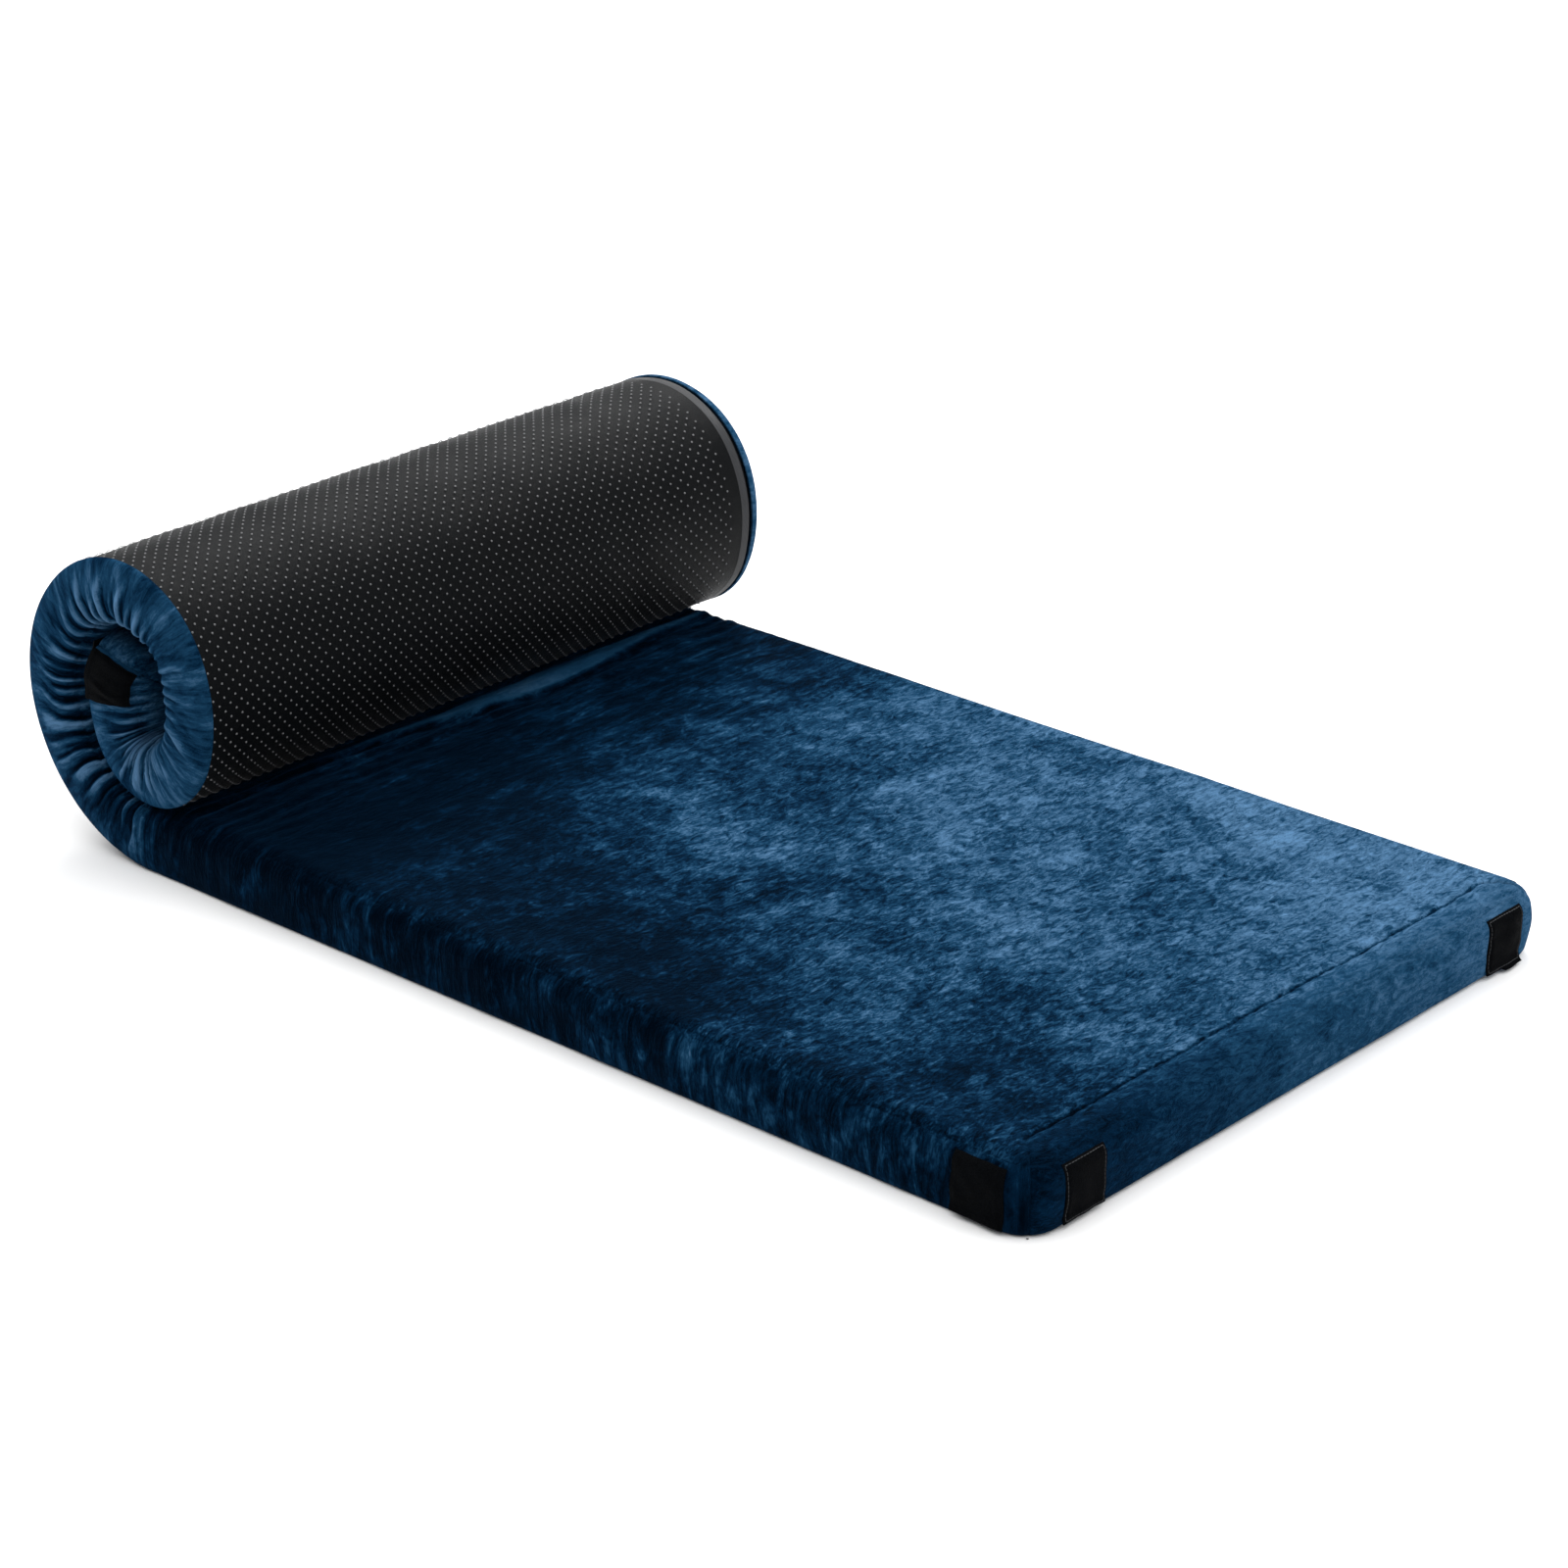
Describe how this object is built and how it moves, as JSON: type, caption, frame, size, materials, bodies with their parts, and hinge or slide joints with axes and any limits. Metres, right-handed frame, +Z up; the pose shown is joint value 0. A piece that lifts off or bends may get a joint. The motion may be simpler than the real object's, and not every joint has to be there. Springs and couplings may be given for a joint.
{
  "type": "futon mattress",
  "caption": "Thin roll-up floor mattress in velvet with an anti-slip dotted underside, one end laid flat and the other rolled up on top of it.",
  "frame": {"origin": "on the floor, in the middle of the footprint of the half-rolled mattress", "axes": "+X to the flat foot end, roll at -X, Y across the width with the zip on the +Y side, +Z up"},
  "size_m": [1.1504, 0.703, 0.2875],
  "materials": {
    "velvet": "brushed crystal velvet, mottled",
    "anti_slip_cloth": "matte cloth with raised light-grey dots",
    "foam": "open-cell foam",
    "satin_binding": "satin tape",
    "hook_and_loop": "hook-and-loop tape, stitched",
    "zip_tape": "woven tape",
    "zip_coil": "nylon coil",
    "zip_metal": "black painted zinc"
  },
  "bodies": {
    "flat_half": {"flat_foam": "foam", "flat_top_panel": "velvet", "flat_near_border": "velvet", "flat_far_border": "velvet", "foot_border": "velvet", "flat_base_cloth": "anti_slip_cloth", "zip_edge_binding": "satin_binding", "zip_tape": "zip_tape", "zip_chain": "zip_coil", "foot_near_side_patch": "hook_and_loop", "foot_far_side_patch": "hook_and_loop", "foot_near_end_patch": "hook_and_loop", "foot_far_end_patch": "hook_and_loop"},
    "zip_slider": {"zip_slider": "zip_metal"},
    "zip_pull_tab": {"zip_pull_tab": "zip_metal"},
    "roll_01": {"roll_01_foam": "foam", "roll_01_cover": "velvet", "roll_01_base_cloth": "anti_slip_cloth"},
    "roll_02": {"roll_02_foam": "foam", "roll_02_cover": "velvet", "roll_02_base_cloth": "anti_slip_cloth"},
    "roll_03": {"roll_03_foam": "foam", "roll_03_cover": "velvet", "roll_03_base_cloth": "anti_slip_cloth"},
    "roll_04": {"roll_04_foam": "foam", "roll_04_cover": "velvet", "roll_04_base_cloth": "anti_slip_cloth"},
    "roll_05": {"roll_05_foam": "foam", "roll_05_cover": "velvet", "roll_05_base_cloth": "anti_slip_cloth"},
    "roll_06": {"roll_06_foam": "foam", "roll_06_cover": "velvet", "roll_06_base_cloth": "anti_slip_cloth"},
    "roll_07": {"roll_07_foam": "foam", "roll_07_cover": "velvet", "roll_07_base_cloth": "anti_slip_cloth"},
    "roll_08": {"roll_08_foam": "foam", "roll_08_cover": "velvet", "roll_08_base_cloth": "anti_slip_cloth"},
    "roll_09": {"roll_09_foam": "foam", "roll_09_cover": "velvet", "roll_09_base_cloth": "anti_slip_cloth"},
    "roll_10": {"roll_10_foam": "foam", "roll_10_cover": "velvet", "roll_10_base_cloth": "anti_slip_cloth"},
    "roll_11": {"roll_11_foam": "foam", "roll_11_cover": "velvet", "roll_11_base_cloth": "anti_slip_cloth"},
    "roll_12": {"roll_12_foam": "foam", "roll_12_cover": "velvet", "roll_12_base_cloth": "anti_slip_cloth"},
    "roll_13": {"roll_13_foam": "foam", "roll_13_cover": "velvet", "roll_13_base_cloth": "anti_slip_cloth", "head_border": "velvet", "head_near_side_patch": "hook_and_loop", "head_far_side_patch": "hook_and_loop", "head_near_end_patch": "hook_and_loop", "head_far_end_patch": "hook_and_loop"}
  },
  "joints": [
    {"name": "unroll", "type": "hinge", "parent": "flat_half", "child": "roll_01", "pos_m": [-0.44365, 0, 0], "axis": [0, -1, 0], "range_deg": [0, 18]},
    {"name": "unroll_02", "type": "hinge", "parent": "roll_01", "child": "roll_02", "pos_m": [-0.51672, 0, 0.02374], "axis": [0, -1, 0], "range_deg": [0, 36]},
    {"name": "unroll_03", "type": "hinge", "parent": "roll_02", "child": "roll_03", "pos_m": [-0.5752, 0, 0.10423], "axis": [0, -1, 0], "range_deg": [0, 36]},
    {"name": "unroll_04", "type": "hinge", "parent": "roll_03", "child": "roll_04", "pos_m": [-0.5752, 0, 0.19678], "axis": [0, -1, 0], "range_deg": [0, 36]},
    {"name": "unroll_05", "type": "hinge", "parent": "roll_04", "child": "roll_05", "pos_m": [-0.52284, 0, 0.26884], "axis": [0, -1, 0], "range_deg": [0, 36]},
    {"name": "unroll_06", "type": "hinge", "parent": "roll_05", "child": "roll_06", "pos_m": [-0.44672, 0, 0.29357], "axis": [0, -1, 0], "range_deg": [0, 36]},
    {"name": "unroll_07", "type": "hinge", "parent": "roll_06", "child": "roll_07", "pos_m": [-0.37603, 0, 0.2706], "axis": [0, -1, 0], "range_deg": [0, 36]},
    {"name": "unroll_08", "type": "hinge", "parent": "roll_07", "child": "roll_08", "pos_m": [-0.33273, 0, 0.21101], "axis": [0, -1, 0], "range_deg": [0, 36]},
    {"name": "unroll_09", "type": "hinge", "parent": "roll_08", "child": "roll_09", "pos_m": [-0.33273, 0, 0.12732], "axis": [0, -1, 0], "range_deg": [0, 36]},
    {"name": "unroll_10", "type": "hinge", "parent": "roll_09", "child": "roll_10", "pos_m": [-0.3701, 0, 0.0759], "axis": [0, -1, 0], "range_deg": [0, 36]},
    {"name": "unroll_11", "type": "hinge", "parent": "roll_10", "child": "roll_11", "pos_m": [-0.41749, 0, 0.0605], "axis": [0, -1, 0], "range_deg": [0, 36]},
    {"name": "unroll_12", "type": "hinge", "parent": "roll_11", "child": "roll_12", "pos_m": [-0.46323, 0, 0.07536], "axis": [0, -1, 0], "range_deg": [0, 36]},
    {"name": "unroll_13", "type": "hinge", "parent": "roll_12", "child": "roll_13", "pos_m": [-0.49502, 0, 0.11911], "axis": [0, -1, 0], "range_deg": [0, 36]},
    {"name": "zip_slide", "type": "slide", "parent": "flat_half", "child": "zip_slider", "axis": [-1, 0, 0], "range_m": [0, 0.92]},
    {"name": "pull_tab_swing", "type": "hinge", "parent": "zip_slider", "child": "zip_pull_tab", "pos_m": [0.53819, 0.338, 0.00205], "axis": [0, -1, 0], "range_deg": [0, 150]}
  ],
  "couplings": [
    {"joint": "unroll_02", "follows": "unroll", "ratio": 2},
    {"joint": "unroll_03", "follows": "unroll", "ratio": 2},
    {"joint": "unroll_04", "follows": "unroll", "ratio": 2},
    {"joint": "unroll_05", "follows": "unroll", "ratio": 2},
    {"joint": "unroll_06", "follows": "unroll", "ratio": 2},
    {"joint": "unroll_07", "follows": "unroll", "ratio": 2},
    {"joint": "unroll_08", "follows": "unroll", "ratio": 2},
    {"joint": "unroll_09", "follows": "unroll", "ratio": 2},
    {"joint": "unroll_10", "follows": "unroll", "ratio": 2},
    {"joint": "unroll_11", "follows": "unroll", "ratio": 2},
    {"joint": "unroll_12", "follows": "unroll", "ratio": 2},
    {"joint": "unroll_13", "follows": "unroll", "ratio": 2}
  ]
}
